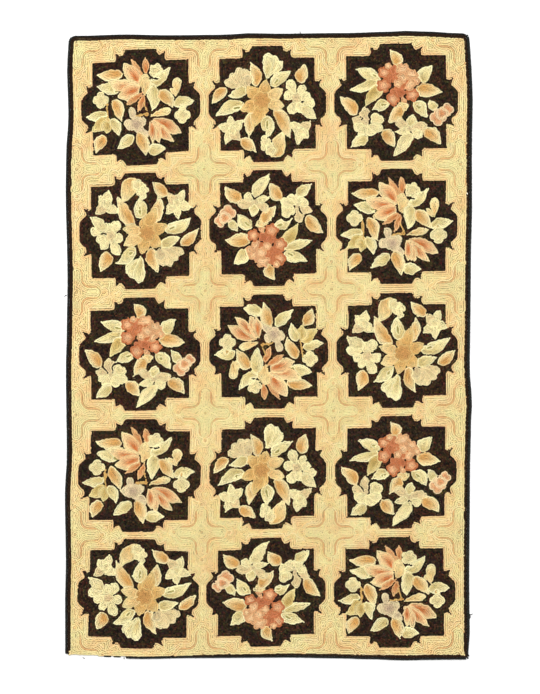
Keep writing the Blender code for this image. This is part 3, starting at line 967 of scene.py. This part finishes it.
long_of = stitch_of_patch[owner] * OVERLAP_LONG * random.normal(1, LONG_UNEVEN, count)
wide_of = row_of_patch[owner] * OVERLAP_WIDE * random.normal(1, WIDE_UNEVEN, count)
turn_of = stitch[:, 2] + random.normal(0, TURN_UNEVEN, count)
crown_of = LOOP_CROWN + random.normal(0, CROWN_UNEVEN, count) + BLOTCH_RISE * blotch
middle_of = stitch[:, :2] + random.normal(0, PLACE_UNEVEN, (count, 2))


def copies(points, faces, size, low, turn, middle):
    """Copies of a modelled piece, each with its size, level, turn and place, as the arrays of one mesh."""
    shaped = points[None] * size[:, None]
    shaped[..., 2] += low[:, None]
    c, s = np.cos(turn)[:, None], np.sin(turn)[:, None]
    x = shaped[..., 0] * c - shaped[..., 1] * s + middle[:, 0, None]
    y = shaped[..., 0] * s + shaped[..., 1] * c + middle[:, 1, None]
    where = np.stack([x, y, shaped[..., 2]], axis=-1).reshape(-1, 3) * MM
    corner = np.concatenate([np.array(f) for f in faces])
    corners = (corner[None, :] + np.arange(len(size))[:, None] * len(points)).reshape(-1)
    return where, np.tile([len(f) for f in faces], len(size)), corners


def loops_at(chosen):
    """The loops at the chosen stitches, and their wool, with painted shade at the feet."""
    size = np.stack([long_of, wide_of, crown_of - LOOP_FOOT], axis=1)[chosen]
    low = np.full(len(chosen), LOOP_FOOT)
    # Painted shade: the points at the feet take the wool's colour darkened
    shade = np.where(loop_points[:, 2] > 0.5, 1.0, PAINTED_FOOT_SHADE)[None, :, None]
    wool = (colour[chosen][:, None, :] * shade).reshape(-1, 3)
    return *copies(loop_points, loop_faces, size, low, turn_of[chosen], middle_of[chosen]), wool


def mesh_from_arrays(name, where, sizes, corners, wool):
    """One object from the arrays, with the wool's colours and a flat plan of it as its UV map."""
    mesh = bpy.data.meshes.new(name)
    mesh.vertices.add(len(where))
    mesh.vertices.foreach_set("co", where.astype(np.float32).ravel())
    mesh.loops.add(len(corners))
    mesh.loops.foreach_set("vertex_index", corners.astype(np.int32))
    mesh.polygons.add(len(sizes))
    mesh.polygons.foreach_set("loop_start", (np.cumsum(sizes) - sizes).astype(np.int32))
    mesh.polygons.foreach_set("use_smooth", np.ones(len(sizes), bool))
    paint = mesh.color_attributes.new("wool", "FLOAT_COLOR", "POINT")
    paint.data.foreach_set("color", np.concatenate([wool, np.ones((len(wool), 1))], axis=1).ravel())
    low, high = where[:, :2].min(axis=0), where[:, :2].max(axis=0)
    seen = (where[corners][:, :2] - low) / (high - low)
    plan = mesh.uv_layers.new(name="OFBake")
    plan.data.foreach_set("uv", seen.astype(np.float32).ravel())
    mesh.update(calc_edges=True)
    mesh.validate()
    obj = bpy.data.objects.new(name, mesh)
    bpy.context.scene.collection.objects.link(obj)
    return obj


# %% [markdown]
# ## Wool
# Hooked wool is matt and slightly fuzzy. Its look is nearly all in the colour of each stitch, which the
# material reads from the mesh, and in the fine fibres and the fold of the strip, which are noise at the
# real scale of a fibre bundle.

# %% One helper for nodes, and the wool material
def dress(tree, node, settings=None, links=None):
    """Sets a node's properties and sockets, and links other nodes' outputs to its sockets."""
    for key, value in (settings or {}).items():
        if isinstance(key, int) or key in node.inputs:
            node.inputs[key].default_value = value
        else:
            setattr(node, key, value)
    for key, source in (links or {}).items():
        tree.links.new(source, node.inputs[key])
    return node


def add(tree, kind, settings=None, links=None):
    """Adds a node with its settings and links."""
    return dress(tree, tree.nodes.new(kind), settings, links)


def start_material(name):
    """A new material, its node tree, its shader, and the place on the piece that its patterns read."""
    material = bpy.data.materials.new(name)
    material.use_nodes = True
    tree = material.node_tree
    place = add(tree, "ShaderNodeTexCoord").outputs["Object"]
    return material, tree, tree.nodes["Principled BSDF"], place


FIBRE_MM, FOLD_MM = 0.7, 2.6


def hooked_wool():
    """Matt wool: no gloss, a soft sheen at the edges of the loops, and fibres lighter and darker."""
    material, tree, shader, place = start_material("matt hooked wool strips")
    wool = add(tree, "ShaderNodeAttribute", {"attribute_name": "wool"})
    fibre = add(tree, "ShaderNodeTexNoise", {"Scale": 1 / (FIBRE_MM * MM), "Detail": 2.0},
                {"Vector": place})
    fold = add(tree, "ShaderNodeTexNoise", {"Scale": 1 / (FOLD_MM * MM), "Detail": 1.0}, {"Vector": place})
    both = add(tree, "ShaderNodeMath", {"operation": "ADD"},
               {0: fibre.outputs["Fac"], 1: fold.outputs["Fac"]})
    tone = add(tree, "ShaderNodeMapRange",
               {"From Min": 0.6, "From Max": 1.4, "To Min": 0.87, "To Max": 1.10},
               {"Value": both.outputs[0]})
    tinted = add(tree, "ShaderNodeVectorMath", {"operation": "SCALE"},
                 {"Vector": wool.outputs["Color"], "Scale": tone.outputs["Result"]})
    bump = add(tree, "ShaderNodeBump", {"Strength": 0.22, "Distance": 0.0004}, {"Height": both.outputs[0]})
    dress(tree, shader,
          {"Roughness": 0.92, "IOR": 1.5, "Specular IOR Level": 0.06, "Sheen Weight": 0.015,
           "Sheen Roughness": 0.6},
          {"Base Color": tinted.outputs["Vector"], "Normal": bump.outputs["Normal"]})
    return material


wool_material = hooked_wool()

# %% [markdown]
# ## Fifteen blocks
# The loops are joined into one piece for each tile of the pattern, five rows of three, because fifteen
# meshes are quick to handle and tens of thousands are not.

# %% Make a block of loops for every tile
rows_at = sorted({m.row for m in MEDALLIONS})
centre_y = np.array([np.mean([m.y for m in MEDALLIONS if m.row == r]) for r in rows_at])
centre_x = np.array([np.mean([m.x for m in MEDALLIONS if m.column == c]) for c in (1, 2, 3)])
block_row = np.argmin(np.abs(stitch[:, 1, None] - centre_y[None, :]), axis=1)
block_column = np.argmin(np.abs(stitch[:, 0, None] - centre_x[None, :]), axis=1)
for r in range(5):
    for c in range(3):
        chosen = np.flatnonzero((block_row == r) & (block_column == c))
        name = f"hooked_loops_{r + 1}_{('left', 'middle', 'right')[c]}"
        block = mesh_from_arrays(name, *loops_at(chosen))
        finish_piece(block, name, wool_material)

# %% [markdown]
# ## The burlap with the feet of the loops
# Under the loops is the burlap, packed with the feet of the wool. From below it shows the same pattern as
# flat stitches between the burlap's threads. It is cut from the rim's own outline, sliced into squares so
# that it can carry the pattern's colours at its points, darkened on top as painted shade between the loops,
# and given its thickness.

# %% Model the burlap
BURLAP_TOP, BURLAP_STEP = 4.9, 9.5
# Painted shade: the burlap's top shows only in the pits between the loops, so its colour is darkened to this
# share
PAINTED_PIT_SHADE, FEET_REACH = 0.80, 5


def model_burlap():
    """The field's outline as a flat sheet, sliced into squares, with its thickness below."""
    deselect()
    bpy.ops.mesh.primitive_circle_add(vertices=len(rim), radius=0.5, fill_type="NGON")
    obj = bpy.context.object
    for vertex, (x, y) in zip(obj.data.vertices, rim):
        vertex.co = (x * MM, y * MM, BURLAP_TOP * MM)
    bpy.ops.object.mode_set(mode="EDIT")
    for low, high, normal in ((rim[:, 0].min(), rim[:, 0].max(), (1, 0, 0)),
                              (rim[:, 1].min(), rim[:, 1].max(), (0, 1, 0))):
        for place in np.arange(low + BURLAP_STEP, high - 2, BURLAP_STEP):
            bpy.ops.mesh.select_all(action="SELECT")
            where = Vector(normal) * float(place) * MM
            bpy.ops.mesh.bisect(plane_co=where, plane_no=normal)
    bpy.ops.mesh.select_all(action="SELECT")
    bpy.ops.mesh.remove_doubles(threshold=0.00005)
    bpy.ops.object.mode_set(mode="OBJECT")
    thick = obj.modifiers.new("thickness", "SOLIDIFY")
    thick.thickness = BURLAP_TOP * MM
    thick.offset = -1.0 if obj.data.polygons[0].normal.z > 0 else 1.0
    bpy.ops.object.modifier_apply(modifier="thickness")
    return obj


def paint_burlap(obj):
    """Gives every point its nearest stitches' colour, with painted shade on top, and as alpha how much jute
    shows there.
    """
    where = np.array([tuple(v.co) for v in obj.data.vertices]) / MM
    picture = np.zeros((*patch.shape, 3), np.float32)
    picture[cell_j, cell_i] = colour
    filled = np.zeros(patch.shape, bool)
    filled[cell_j, cell_i] = True
    amount = boxed(filled.astype(np.float32), FEET_REACH)
    near = [boxed(picture[..., k], FEET_REACH) / np.maximum(amount, 1e-6) for k in range(3)]
    i = np.clip(((where[:, 0] + HALF_ACROSS) / CELL).astype(int), 0, across.size - 1)
    j = np.clip(((where[:, 1] + HALF_ALONG) / CELL).astype(int), 0, along.size - 1)
    wool = np.stack([k[j, i] for k in near], axis=1)
    wool[amount[j, i] < 1e-4] = linear("#3A2A1C")
    top = where[:, 2] > BURLAP_TOP / 2
    # Painted shade: the top, seen only between the loops' feet, is darker than the wool round it
    wool[top] *= PAINTED_PIT_SHADE
    jute = np.where(top, 0.0, 1.0)[:, None]
    paint = obj.data.color_attributes.new("wool", "FLOAT_COLOR", "POINT")
    paint.data.foreach_set("color", np.concatenate([wool, jute], axis=1).ravel())


burlap = model_burlap()
paint_burlap(burlap)
print("burlap:", len(burlap.data.vertices), "points")

# %% [markdown]
# ## Jute burlap
# Burlap is plain weave jute with threads about two millimetres apart. Two sine waves across each other give
# the weave, and it shows between the backs of the loops on the underside only.

# %% Burlap material
THREAD_MM, HAIR_MM = 2.1, 0.5


def burlap_weave():
    """Jute in plain weave, dull and hairy, with the flat backs of the loops showing between its threads."""
    material, tree, shader, place = start_material("plain weave jute burlap")
    wool = add(tree, "ShaderNodeAttribute", {"attribute_name": "wool"})
    parts = add(tree, "ShaderNodeSeparateXYZ", links={"Vector": place})
    waves = []
    for axis in ("X", "Y"):
        angle = add(tree, "ShaderNodeMath", {"operation": "MULTIPLY", 1: tau / (THREAD_MM * MM)},
                    {0: parts.outputs[axis]})
        waves.append(add(tree, "ShaderNodeMath", {"operation": "SINE"}, {0: angle.outputs[0]}))
    weave = add(tree, "ShaderNodeMath", {"operation": "MULTIPLY"},
                {0: waves[0].outputs[0], 1: waves[1].outputs[0]})
    thread = add(tree, "ShaderNodeMapRange", {"From Min": 0.15, "From Max": 0.55},
                 {"Value": weave.outputs[0]})
    shown = add(tree, "ShaderNodeMath", {"operation": "MULTIPLY"},
                {0: thread.outputs["Result"], 1: wool.outputs["Alpha"]})
    hairs = add(tree, "ShaderNodeTexNoise", {"Scale": 1 / (HAIR_MM * MM), "Detail": 3.0}, {"Vector": place})
    jute = add(tree, "ShaderNodeMix",
               {"data_type": "RGBA", 6: (*linear("#8C6E45"), 1), 7: (*linear("#B99A68"), 1)},
               {"Factor": hairs.outputs["Fac"]})
    # The stitches' colour made darker: on the top this is painted shade between the loops, and the underside
    # is darker too
    darkened_wool = add(tree, "ShaderNodeVectorMath", {"operation": "SCALE", "Scale": 0.62},
                 {"Vector": wool.outputs["Color"]})
    seen = add(tree, "ShaderNodeMix", {"data_type": "RGBA"},
               {"Factor": shown.outputs[0], 6: darkened_wool.outputs["Vector"], 7: jute.outputs[2]})
    bump = add(tree, "ShaderNodeBump", {"Strength": 0.5, "Distance": 0.0006}, {"Height": weave.outputs[0]})
    dress(tree, shader, {"Roughness": 0.95, "Specular IOR Level": 0.06},
          {"Base Color": seen.outputs[2], "Normal": bump.outputs["Normal"]})
    return material


burlap_material = burlap_weave()
finish_piece(burlap, "burlap_foundation", burlap_material)
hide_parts("hooked_field")

# %% [markdown]
# ## The whipped edge
# The edge is black yarn whipped over the rim, one turn beside the next. One turn is modelled from a
# cylinder with a swollen middle, and copied along the rim at the spacing of the real yarn, leaning a
# little as hand whipping does. Each run stands for one solid, and the worn stretch keeps only its tufts.

# %% Model one turn of yarn
TURN_STEP, TURN_LONG, TURN_LEAN = 3.3, 3.9, 0.16
EDGE_WIDTH = {"bottom": 5.8, "right": 7.4, "top": 4.7, "left": 5.5}
EDGE_HIGH, SEWN_GAP, TURN_OVERLAP, TURN_END = 6.4, 0.3, 1.02, 0.80


def model_turn():
    """A turn one unit wide and high, with its axis along X and its ends drawn in."""
    deselect()
    bpy.ops.mesh.primitive_cylinder_add(vertices=8, radius=0.5, depth=1, rotation=(0, pi / 2, 0))
    obj = bpy.context.object
    bpy.ops.object.transform_apply(rotation=True)
    bpy.ops.object.mode_set(mode="EDIT")
    bpy.ops.mesh.select_mode(type="VERT")
    bpy.ops.mesh.select_all(action="SELECT")
    bpy.ops.mesh.bisect(plane_co=(0, 0, 0), plane_no=(1, 0, 0))
    choose_points(obj, lambda co: abs(co.x) > 0.3)
    bpy.ops.transform.resize(value=(1, TURN_END, TURN_END))
    bpy.ops.mesh.select_all(action="SELECT")
    bpy.ops.mesh.normals_make_consistent(inside=False)
    bpy.ops.object.mode_set(mode="OBJECT")
    points = np.array([tuple(v.co) for v in obj.data.vertices])
    faces = sorted((tuple(f.vertices) for f in obj.data.polygons), key=lambda f: points[list(f), 2].max())
    bpy.data.objects.remove(obj)
    return points, faces


turn_points, turn_faces = model_turn()
print("one turn:", len(turn_points), "points,", len(turn_faces), "faces")

# %% [markdown]
# ## Where the turns of yarn go
# The turns follow the rim at an even spacing, just outside the field, so the whipping keeps the uneven line
# of the edge. On the worn stretch there are turns only at the two tufts that are left, and lower ones.

# %% Walk the rim and whip each run
def rim_places():
    """Evenly spaced places along the rim: x, y, the outward normal and the run it belongs to."""
    ahead = np.roll(rim, -1, axis=0) - rim
    lengths = np.linalg.norm(ahead, axis=1)
    total = np.concatenate([[0], np.cumsum(lengths)])
    closed = np.concatenate([rim, rim[:1]])
    at = np.arange(0, total[-1], TURN_STEP)
    x, y = (np.interp(at, total, closed[:, k]) for k in (0, 1))
    fore_x, fore_y = (np.interp((at + 2.5) % total[-1], total, closed[:, k]) for k in (0, 1))
    back_x, back_y = (np.interp((at - 2.5) % total[-1], total, closed[:, k]) for k in (0, 1))
    tangent = np.stack([fore_x - back_x, fore_y - back_y], axis=1)
    tangent /= np.linalg.norm(tangent, axis=1)[:, None]
    return [(px, py, ty, -tx, side_of_rim(px, py)) for px, py, (tx, ty) in zip(x, y, tangent)]


LOST_CORNER, RIGHT_END_NARROWER = -470, 3.6
TUFT_WIDTH, TUFT_HEIGHT = 0.62, 0.66
tuft_low = {name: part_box(name)[0][0] / MM for name in ("edge_tuft_1", "edge_tuft_2")}
tuft_high = {name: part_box(name)[1][0] / MM for name in ("edge_tuft_1", "edge_tuft_2")}
bottom_run_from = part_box("whipped_edge_bottom")[0][0] / MM
turns = {name: [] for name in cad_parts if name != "hooked_field"}
for x, y, out_x, out_y, side in rim_places():
    node, wide, high = f"whipped_edge_{side}", EDGE_WIDTH[side], EDGE_HIGH
    if side == "bottom" and x < bottom_run_from + 1:
        node = next((name for name in tuft_low if tuft_low[name] < x < tuft_high[name]), None)
        wide, high = wide * TUFT_WIDTH, EDGE_HIGH * TUFT_HEIGHT
    if node is None or (side in ("left", "bottom") and x < LOST_CORNER and y < LEFT_END):
        continue
    if side == "right":
        wide -= RIGHT_END_NARROWER * float(np.interp(-y, RIGHT_END, (0, 1)))
    out = SEWN_GAP + wide / 2
    turns[node].append((x + out_x * out, y + out_y * out, np.arctan2(-out_x, out_y), wide, high))
print("turns of yarn:", {name: len(rows) for name, rows in turns.items()})

# %% [markdown]
# ## Aged black wool yarn
# The whipping is spun wool, once black. It is dull and looks slightly green or brown where it has faded.
# Its fibres are noise at the width of a ply.

# %% The yarn's material
YARN_MM = 0.9


def whipping_yarn():
    """Black wool yarn gone green and brown with age: nearly black, dull, with its twist as fine ridges."""
    material, tree, shader, place = start_material("aged black wool yarn")
    wool = add(tree, "ShaderNodeAttribute", {"attribute_name": "wool"})
    fibre = add(tree, "ShaderNodeTexNoise", {"Scale": 1 / (YARN_MM * MM), "Detail": 3.0}, {"Vector": place})
    tone = add(tree, "ShaderNodeMapRange", {"From Min": 0.3, "From Max": 0.7, "To Min": 0.7, "To Max": 1.4},
               {"Value": fibre.outputs["Fac"]})
    tinted = add(tree, "ShaderNodeVectorMath", {"operation": "SCALE"},
                 {"Vector": wool.outputs["Color"], "Scale": tone.outputs["Result"]})
    bump = add(tree, "ShaderNodeBump", {"Strength": 0.5, "Distance": 0.0004},
               {"Height": fibre.outputs["Fac"]})
    dress(tree, shader, {"Roughness": 0.9, "Specular IOR Level": 0.25, "Sheen Weight": 0.05},
          {"Base Color": tinted.outputs["Vector"], "Normal": bump.outputs["Normal"]})
    return material


yarn_material = whipping_yarn()
YARN_COLOURS = ("#14160F", "#101615", "#1A150F", "#171A18")

# %% [markdown]
# ## Joining the runs
# The copies of each run are joined into one mesh that stands for one solid, and each turn gets its own
# dye, width and lean, so the edge looks sewn by hand.

# %% Join the turns of every run
def whip(name, rows):
    """One run of whipping, every turn with its own height, length, width, lean and dye."""
    x, y, angle, wide, high = np.array(rows).T
    n = len(rows)
    high = high * random.normal(1, 0.03, n)
    long = TURN_LONG * random.normal(1, 0.05, n)
    wide = wide * TURN_OVERLAP * random.normal(1, 0.03, n)
    angle = angle + TURN_LEAN + random.normal(0, 0.05, n)
    size, middle = np.stack([long, wide, high], axis=1), np.stack([x, y], axis=1)
    where, sizes, corners = copies(turn_points, turn_faces, size, high / 2, angle, middle)
    dyes = np.array([linear(code) for code in YARN_COLOURS])[random.integers(0, len(YARN_COLOURS), n)]
    dyes = dyes * random.normal(1, 0.15, (n, 1)).clip(0.6, 1.5)
    wool = np.repeat(dyes, len(turn_points), axis=0)
    run = mesh_from_arrays(f"yarn_{name}", where, sizes, corners, wool)
    finish_piece(run, f"yarn_{name}", yarn_material)
    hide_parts(name)
    return run


runs = [whip(name, rows) for name, rows in turns.items()]
print("whipped runs:", [run.name for run in runs])

# %% [markdown]
# ## Loose ends
# Old edges fray. A few dark yarn ends have come loose along the edges, and at the worn stretch the
# burlap's own threads stick out. Each is a short bent curve with a round section.

# %% Loose yarn ends and frayed burlap
LooseEnd = namedtuple("LooseEnd", "x y turn long")
DARK_ENDS = (
    LooseEnd(483.0, -646.0, -25.0, 8.0),
    LooseEnd(483.0, -647.5, -42.0, 11.0),
    LooseEnd(77.0, 745.0, 100.0, 9.0),
    LooseEnd(79.5, 745.0, 80.0, 11.0),
    LooseEnd(82.0, 745.0, 95.0, 10.0),
    LooseEnd(84.5, 745.0, 75.0, 8.0),
    LooseEnd(62.0, 745.0, 80.0, 5.5),
    LooseEnd(-484.0, 120.0, 165.0, 7.0),
    LooseEnd(-445.0, -748.5, 265.0, 6.0),
    LooseEnd(-346.0, -749.0, 275.0, 5.0),
)
YARN_THICK, JUTE_THICK = 1.8, 0.8
YARN_LEVEL, JUTE_LEVEL, END_BEND = 4.0, 1.6, 0.35
FRAYED_FROM, FRAYED_TO, FRAYED_STEP = -474, -343, 6.0


def loose_end(end, thick, level):
    """A short thread that leaves the edge, bends and lies down."""
    path = bpy.data.curves.new("loose end", "CURVE")
    path.dimensions = "3D"
    path.bevel_depth = thick / 2 * MM
    path.bevel_resolution = 1
    path.use_fill_caps = True
    line = path.splines.new("POLY")
    line.points.add(5)
    bend = random.normal(0, END_BEND)
    x, y, turn = end.x, end.y, radians(end.turn)
    for k, point in enumerate(line.points):
        height = max(thick / 2 + 0.05, level * (1 - k / 3.5))
        point.co = (x * MM, y * MM, height * MM, 1)
        turn += bend
        x, y = x + end.long / 5 * cos(turn), y + end.long / 5 * sin(turn)
    obj = bpy.data.objects.new("loose end", path)
    bpy.context.scene.collection.objects.link(obj)
    return obj


def join_ends(name, ends, thick, level, code, material):
    """All the ends of one kind as one piece, in one colour."""
    made = [loose_end(end, thick, level) for end in ends]
    deselect()
    for obj in made:
        obj.select_set(True)
    bpy.context.view_layer.objects.active = made[0]
    bpy.ops.object.convert(target="MESH")
    bpy.ops.object.join()
    obj = bpy.context.object
    bpy.ops.object.mode_set(mode="EDIT")
    bpy.ops.mesh.select_all(action="SELECT")
    bpy.ops.mesh.normals_make_consistent(inside=False)
    bpy.ops.object.mode_set(mode="OBJECT")
    paint = obj.data.color_attributes.new("wool", "FLOAT_COLOR", "POINT")
    paint.data.foreach_set("color", np.tile([*linear(code), 1.0], len(obj.data.vertices)))
    return finish_piece(obj, name, material)


lower_rim = rim[rim[:, 1] < 0]
lower_rim = lower_rim[np.argsort(lower_rim[:, 0])]
jute_ends = [
    LooseEnd(x, float(np.interp(x, *lower_rim.T)) + 1.0,
             270 + random.normal(0, 28), abs(random.normal(4.0, 2.0)) + 1.5)
    for x in np.arange(FRAYED_FROM, FRAYED_TO, FRAYED_STEP)
]
dark_ends = join_ends("loose_yarn_ends", DARK_ENDS, YARN_THICK, YARN_LEVEL, "#17160F",
                      yarn_material)
frayed = join_ends("frayed_burlap_ends", jute_ends, JUTE_THICK, JUTE_LEVEL, "#D9BE86",
                   wool_material)
print("loose ends:", len(DARK_ENDS), "dark and", len(jute_ends), "of burlap")

# %% [markdown]
# ## The cloth
# The burlap is the sheet that was cut. The loops, the whipping and the loose ends are on it.

# %% [markdown]
# ## The floor, the light and the camera
# The rug lies on a plain white floor and is seen from straight above with a long lens, so its edges stay
# parallel. The light is large and soft, like a photographer's overhead diffuser.

# %% Floor, light and camera
PHOTO_WIDE, PHOTO_HIGH = 540, 694
MM_PER_PIXEL = 2.4
PIXEL_OVER_ORIGIN = (268.4, 345.25)
LENS_MM, FILM_MM = 120.0, 36.0


def white_floor():
    deselect()
    bpy.ops.mesh.primitive_plane_add(size=12, location=(0, 0, -0.0003))
    floor = bpy.context.object
    floor.name = "floor"
    material, tree, shader, place = start_material("white painted floor")
    cloud = add(tree, "ShaderNodeTexNoise", {"Scale": 2.0, "Detail": 2.0}, {"Vector": place})
    paint = add(tree, "ShaderNodeMix",
                {"data_type": "RGBA", 6: (*linear("#F4F4F4"), 1), 7: (*linear("#F8F8F8"), 1)},
                {"Factor": cloud.outputs["Fac"]})
    dress(tree, shader, {"Roughness": 0.8}, {"Base Color": paint.outputs[2]})
    floor.data.materials.append(material)


def soft_light(name, place, size, power):
    light = bpy.data.lights.new(name, "AREA")
    light.shape = "SQUARE"
    light.size = size
    light.energy = power
    lamp = bpy.data.objects.new(name, light)
    lamp.location = place
    lamp.rotation_euler = (-Vector(place)).to_track_quat("-Z", "Y").to_euler()
    bpy.context.scene.collection.objects.link(lamp)


def pale_world():
    world = bpy.data.worlds.new("pale room")
    world.use_nodes = True
    world.node_tree.nodes["Background"].inputs["Color"].default_value = (1, 1, 1, 1)
    world.node_tree.nodes["Background"].inputs["Strength"].default_value = 0.55
    bpy.context.scene.world = world


def camera_above():
    data = bpy.data.cameras.new("camera")
    data.sensor_fit = "VERTICAL"
    data.sensor_height = FILM_MM
    data.sensor_width = FILM_MM
    data.lens = LENS_MM
    camera = bpy.data.objects.new("camera", data)
    away = PHOTO_HIGH * MM_PER_PIXEL * MM * LENS_MM / FILM_MM
    x = (PHOTO_WIDE / 2 - PIXEL_OVER_ORIGIN[0]) * MM_PER_PIXEL * MM
    y = (PIXEL_OVER_ORIGIN[1] - PHOTO_HIGH / 2) * MM_PER_PIXEL * MM
    camera.location = (x, y, away)
    bpy.context.scene.collection.objects.link(camera)
    bpy.context.scene.camera = camera


white_floor()
soft_light("overhead", place=(-0.9, 1.3, 3.2), size=2.6, power=130)
soft_light("fill", place=(1.6, -1.2, 3.0), size=3.0, power=50)
pale_world()
camera_above()
bpy.context.scene.view_settings.view_transform = "Standard"
